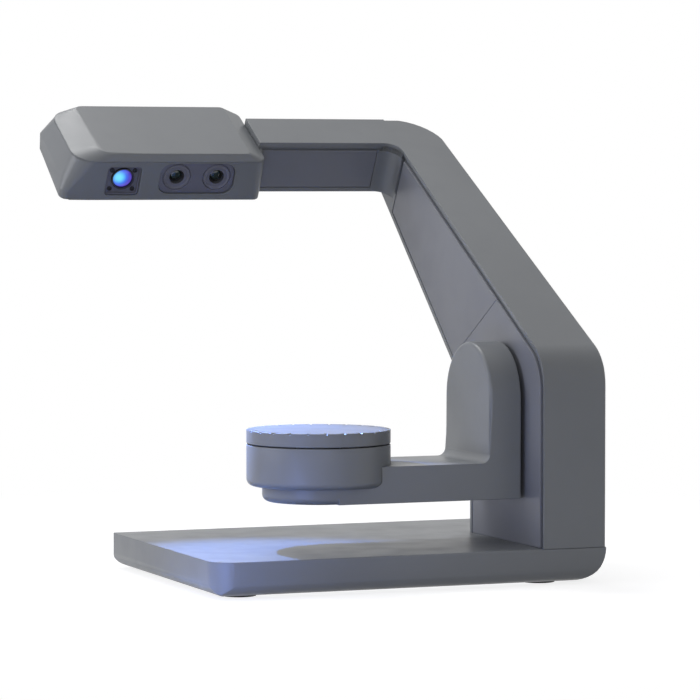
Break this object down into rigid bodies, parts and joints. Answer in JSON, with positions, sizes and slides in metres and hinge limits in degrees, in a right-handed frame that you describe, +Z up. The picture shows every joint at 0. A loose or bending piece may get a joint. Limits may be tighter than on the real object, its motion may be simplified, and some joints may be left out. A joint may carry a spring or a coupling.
{
  "type": "desktop structured-light scanner",
  "caption": "Desktop three-d scanner: a head with a projector and cameras on a leaning arm over a motor-driven turntable on a tilting swing arm.",
  "frame": {"origin": "on the table surface under the middle of the whole scanner's box", "axes": "+Z up and out of the turntable, +X from the head towards the column, +Y from front to back"},
  "size_m": [0.289, 0.2962, 0.3078],
  "materials": {
    "cover_grey": "satin moulded plastic, slightly glossy",
    "panel_grey": "satin moulded plastic with a faint lavender cast",
    "bezel_grey": "fine-textured dark plastic",
    "black_plastic": "black moulded plastic",
    "button_grey": "polished light grey plastic",
    "gear_plastic": "natural acetal",
    "lit_lens": "projector lens, lit cyan-blue",
    "dark_lens": "coated camera lens",
    "board_green": "solder-masked circuit board",
    "rubber": "matt black rubber",
    "steel": "ground steel",
    "dark_steel": "black oxide",
    "aluminium": "milled aluminium",
    "brass": "machined brass"
  },
  "bodies": {
    "root": {"base_cover": "cover_grey", "ballast_plate": "steel", "feet": "rubber", "base_screws": "dark_steel", "frame_shell": "cover_grey", "inner_panel_lower": "panel_grey", "inner_panel_upper": "panel_grey", "arm_panel": "panel_grey", "spine_plate": "aluminium", "spine_foot": "aluminium", "spine_bar": "aluminium", "spine_bolts": "dark_steel", "tilt_bearing_front": "steel", "tilt_bearing_rear": "steel", "gearbox_plate": "aluminium", "tilt_motor": "dark_steel", "main_board": "board_green", "board_standoffs": "brass", "port_panel": "black_plastic", "power_socket": "black_plastic", "data_socket": "steel", "power_switch": "black_plastic", "head_cover": "cover_grey", "head_shell": "cover_grey", "head_screws": "dark_steel", "optical_bench": "aluminium", "projector_body": "dark_steel", "projector_heat_sink": "aluminium", "projector_bezel": "bezel_grey", "projector_barrel": "black_plastic", "projector_lens": "lit_lens", "bezel_screws": "dark_steel", "camera_bezel": "bezel_grey", "camera_bodies": "dark_steel", "camera_barrels": "black_plastic", "camera_lenses": "dark_lens"},
    "swing_arm": {"swing_shell": "cover_grey", "arch_cover": "panel_grey", "arm_cover": "panel_grey", "swing_bracket": "aluminium", "hub_screws": "dark_steel", "tilt_shaft": "steel", "tilt_gear": "brass", "drum": "cover_grey", "drum_cover": "black_plastic", "drum_screws": "dark_steel", "table_bearing": "steel", "table_motor": "dark_steel"},
    "turntable": {"turntable": "cover_grey", "table_spindle": "steel", "table_gear": "gear_plastic"},
    "tilt_pinion": {"tilt_pinion": "brass"},
    "table_pinion": {"table_pinion": "gear_plastic"},
    "power_button": {"power_button": "button_grey"}
  },
  "joints": [
    {"name": "swing_tilt", "type": "hinge", "parent": "root", "child": "swing_arm", "pos_m": [0.0975, -0.08314, 0.1167], "axis": [-1, 0, 0], "range_deg": [-30, 75]},
    {"name": "table_spin", "type": "hinge", "parent": "swing_arm", "child": "turntable", "pos_m": [-0.0275, -0.08314, 0.0903], "axis": [0, 0, 1], "continuous": true},
    {"name": "tilt_pinion_spin", "type": "hinge", "parent": "root", "child": "tilt_pinion", "pos_m": [0.1195, -0.08314, 0.0887], "axis": [-1, 0, 0], "range_deg": [-190, 80]},
    {"name": "table_pinion_spin", "type": "hinge", "parent": "swing_arm", "child": "table_pinion", "pos_m": [-0.0275, -0.11354, 0.08], "axis": [0, 0, 1], "continuous": true},
    {"name": "power_button_press", "type": "slide", "parent": "root", "child": "power_button", "axis": [0, -1, 0], "range_m": [0, 0.0015], "stiffness_N_per_m": 400}
  ],
  "couplings": [
    {"joint": "tilt_pinion_spin", "follows": "swing_tilt", "ratio": -2.5},
    {"joint": "table_pinion_spin", "follows": "table_spin", "ratio": -3.75}
  ]
}
